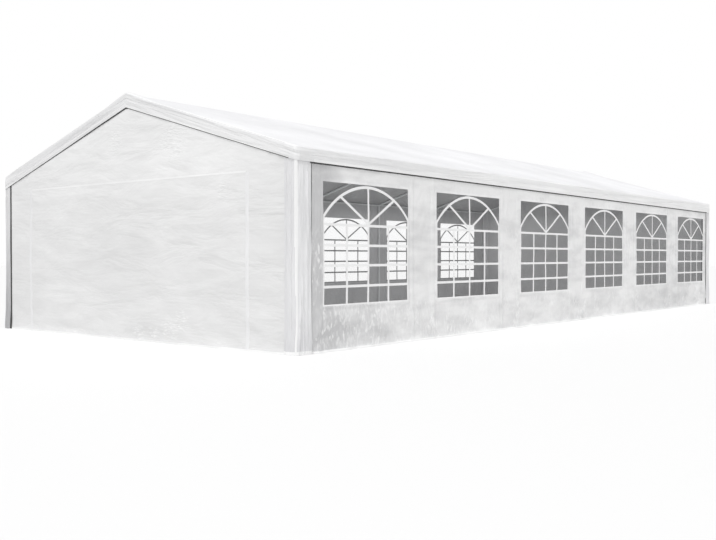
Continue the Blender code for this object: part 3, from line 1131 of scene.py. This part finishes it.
# %% Shape of a corner sleeve
sleeve_low, sleeve_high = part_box("corner_sleeve_back_right")
SLEEVE_FACE = sleeve_high.x
SLEEVE_TOP = sleeve_high.z
SLEEVE_GABLE_FACE = sleeve_high.y
SLEEVE_STEP = 0.009
ROWS_AS_ONE = 4
SIDE_SHADOW_LINE = 0.009  # the painted shadow line down the edge on the side
GABLE_SHADOW_LINE = 0.032  # and the one on the gable, which two of the sleeves have
DARK_LAP = 0.018  # how much further a sleeve with a painted shadow line on its gable edge reaches
LEG_RADIUS = 0.025
RUN_SIDE = SLEEVE_GABLE_FACE - LEG_RADIUS - SLEEVE_ON_SIDE
RUN_TURN = math.pi / 2 * LEG_RADIUS
RUN_GABLE = SLEEVE_FACE - LEG_RADIUS - sleeve_low.x
TURN_AT = Vector((SLEEVE_FACE - LEG_RADIUS, SLEEVE_GABLE_FACE - LEG_RADIUS))


def round_leg(u):
    """The place and the outward direction at the length u along the sleeve's width."""
    if u < RUN_SIDE:
        return Vector((SLEEVE_FACE, SLEEVE_ON_SIDE + u)), Vector((1, 0))
    if u < RUN_SIDE + RUN_TURN:
        angle = (u - RUN_SIDE) / LEG_RADIUS
        way = Vector((math.cos(angle), math.sin(angle)))
        return TURN_AT + LEG_RADIUS * way, way
    rest = u - RUN_SIDE - RUN_TURN
    return Vector((SLEEVE_FACE - LEG_RADIUS - rest, SLEEVE_GABLE_FACE)), Vector((0, 1))


def wander(u, z, seed):
    """How far a fold near the leg has wandered sideways from an upright line."""
    near = ease(RUN_SIDE - 0.03, RUN_SIDE + RUN_TURN, u)
    near *= 1 - ease(RUN_SIDE + RUN_TURN + 0.07, RUN_SIDE + RUN_TURN + 0.10, u)
    return 0.03 * swell(0.0, z * 1.6, seed + 2) * near


def sleeve_fold(u, z, seed):
    """How far a sleeve stands off the leg: pleats on the side, and two wide rolls on the gable."""
    past = u - RUN_SIDE - RUN_TURN
    pleats = 0.016 * crests(u * 16.0 + 0.2 * z, z * 0.8, seed)
    pleats += 0.007 * crests(u * 34.0, z * 1.5, seed + 1)
    pleats *= ease(0.0, 0.02, u) * (1 - ease(RUN_SIDE - 0.02, RUN_SIDE + 0.01, u))
    roll = 0.014 * ease(0.0, 0.015, past) * (1 - ease(0.014, 0.030, past))
    roll += 0.012 * ease(0.030, 0.055, past) * (1 - ease(0.085, 0.105, past))
    small = 0.006 * crests(u * 22.0, z * 1.2, seed + 3) * ease(0.058, 0.08, past)
    small *= 1 - ease(RUN_GABLE - 0.03, RUN_GABLE, past)
    # Its edge lies on the gable's own sheet.
    lap = 0.004 * ease(RUN_GABLE - 0.02, RUN_GABLE - 0.002, past)
    return lap + (pleats + roll + small) * (1 - 0.85 * ease(RIM_BOTTOM - 0.15, RIM_BOTTOM, z))


def pegged_out(u, z):
    """How far the foot of a sleeve is drawn out from the gable."""
    past = u - RUN_SIDE
    drawn = ease(-0.10, 0.04, past) * (1 - 0.7 * ease(0.1, 0.2, past))
    return 0.020 * drawn * (1 - ease(0.0, 0.30, z))


def lit_edge(at):
    """The smooth edge over the leg, whose whiter finish is a painted highlight, and which narrows
    towards the foot.
    """
    foot = 1 - ease(0.3, 1.3, at.y)
    return 0.004 < at.x - RUN_SIDE < RUN_TURN - 0.004 - 0.014 * foot


print("round a leg:", round(1000 * RUN_TURN), "mm")

# %% Corner sleeves
for end, y_sign in ENDS.items():
    for side, x_sign in SIDES.items():
        # The sheet of a gable is the other one's, turned round, and so are its two edges. So the
        # front left and back right sleeves get painted shade and a painted shadow line on the gable.
        shade_painted = x_sign == y_sign
        width = RUN_SIDE + RUN_TURN + RUN_GABLE + (DARK_LAP if shade_painted else 0.0)
        sleeve = flat_grid(width, SLEEVE_TOP, SLEEVE_STEP, (0.0, 0.0))
        rows = round(SLEEVE_TOP / SLEEVE_STEP)
        # The folds are upright, so rows can be taller than columns are wide.
        bmesh.ops.dissolve_edges(
            sleeve,
            edges=[
                edge
                for edge in sleeve.edges
                if abs(edge.verts[0].co.y - edge.verts[1].co.y) < 1e-6
                and round(edge.verts[0].co.y / SLEEVE_TOP * rows) % ROWS_AS_ONE
                and not edge.is_boundary
            ],
            use_verts=True,
        )
        seed = 20.0 + 3 * x_sign + y_sign
        if shade_painted:
            # Painted shade: the gable part of these two sleeves is greyer.
            mark(sleeve, 3, lambda at: at.x > RUN_SIDE)
        else:
            # A painted highlight down the edge over the leg, in the whiter doubled finish.
            mark(sleeve, 1, lit_edge)
            mark(sleeve, 1, lambda at: at.y < HEM)
        # Painted shadow lines down the edge on the side, and on the gable edge of two sleeves.
        mark(sleeve, 2, lambda at: at.x < SIDE_SHADOW_LINE or (shade_painted and at.x > width - GABLE_SHADOW_LINE))
        for point in sleeve.verts:
            u, z = point.co.x, point.co.y
            at, way = round_leg(u - wander(u, z, seed))
            at = at + way * sleeve_fold(u, z, seed)
            point.co = Vector((x_sign * at.x, y_sign * (at.y + pegged_out(u, z)), z))
        turn_outwards(sleeve, (x_sign, y_sign, 0))
        thicken(sleeve, CLOTH)
        made = piece(
            f"corner_cloth_{end}_{side}",
            sleeve,
            corner_tarpaulin,
            double_tarpaulin,
            painted_shadow_finish,
            shaded_corner_tarpaulin,
            replaced=[f"corner_sleeve_{end}_{side}"],
        )
print("corner sleeve, flat width:", round(RUN_SIDE + RUN_TURN + RUN_GABLE, 3))

# %% [markdown]
# ## Studio
#
# A white surround gives soft light from all sides and a white ground behind the tent. The
# light itself is dimmer than the ground we see, so that a broad lamp from above the near
# gable can draw the folds. The floor is a plain pale sheet.

# %% Studio
SURROUND_LIGHT = 0.52
SUN_POWER = 2.25
SUN_SPREAD = math.radians(18)
TO_SUN = (0.154, -0.265, 0.952)
GLOW_DOWN_POWER = 56.0
GLOW_UP_POWER = 0.5
GLOW_WIDTH = 4.9
GLOW_LENGTH = 11.8
GLOW_OVER_RIM = 0.05
FLOOR_SIZE = 160.0
FLOOR_LEVEL = -0.001  # just under the feet

world = bpy.data.worlds.new("white_surround")
bpy.context.scene.world = world
world.use_nodes = True
tree = world.node_tree
ground = tree.nodes["Background"]
ground.inputs["Color"].default_value = colour("#FFFFFF")
seen = add_node(tree, "LightPath")["Is Camera Ray"]
strength = add_node(tree, "MapRange", seen, 0.0, 1.0, SURROUND_LIGHT, 1.0)[0]
tree.links.new(strength, ground.inputs["Strength"])

sun = bpy.data.lights.new("broad_lamp", "SUN")
sun.energy = SUN_POWER
sun.angle = SUN_SPREAD
lamp = in_scene("broad_lamp", sun)
lamp.rotation_euler = Vector(TO_SUN).to_track_quat("Z", "Y").to_euler()

# White tarpaulin lets some daylight through, so two lamps at the eaves light the inside.
for name, power, tilt in (("down", GLOW_DOWN_POWER, 0.0), ("up", GLOW_UP_POWER, math.pi)):
    glow = bpy.data.lights.new(f"glow_{name}", "AREA")
    glow.shape = "RECTANGLE"
    glow.size = GLOW_WIDTH
    glow.size_y = GLOW_LENGTH
    glow.energy = power
    panel = in_scene(f"glow_{name}", glow)
    panel.location.z = RIM_BOTTOM + GLOW_OVER_RIM
    panel.rotation_euler = (tilt, 0.0, 0.0)
    panel.visible_camera = False
    panel.visible_glossy = False

pale, tree, shader, place = new_material("pale_floor")
shader.inputs["Base Color"].default_value = colour("#EBEBEB")
shader.inputs["Roughness"].default_value = 0.9
floor_mesh = flat_grid(FLOOR_SIZE, FLOOR_SIZE, FLOOR_SIZE, (-FLOOR_SIZE / 2, -FLOOR_SIZE / 2))
floor_data = bpy.data.meshes.new("studio_floor")
floor_mesh.to_mesh(floor_data)
floor_mesh.free()
floor_data.materials.append(pale)
floor = in_scene("studio_floor", floor_data)
floor.location.z = FLOOR_LEVEL
floor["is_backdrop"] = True

bpy.context.scene.view_settings.view_transform = "Standard"
bpy.context.scene.view_settings.look = "None"
print("lights:", len(bpy.data.lights))

# %% Finish
low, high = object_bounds()
print("dressed tent:", [round(b - a, 3) for a, b in zip(low, high)])
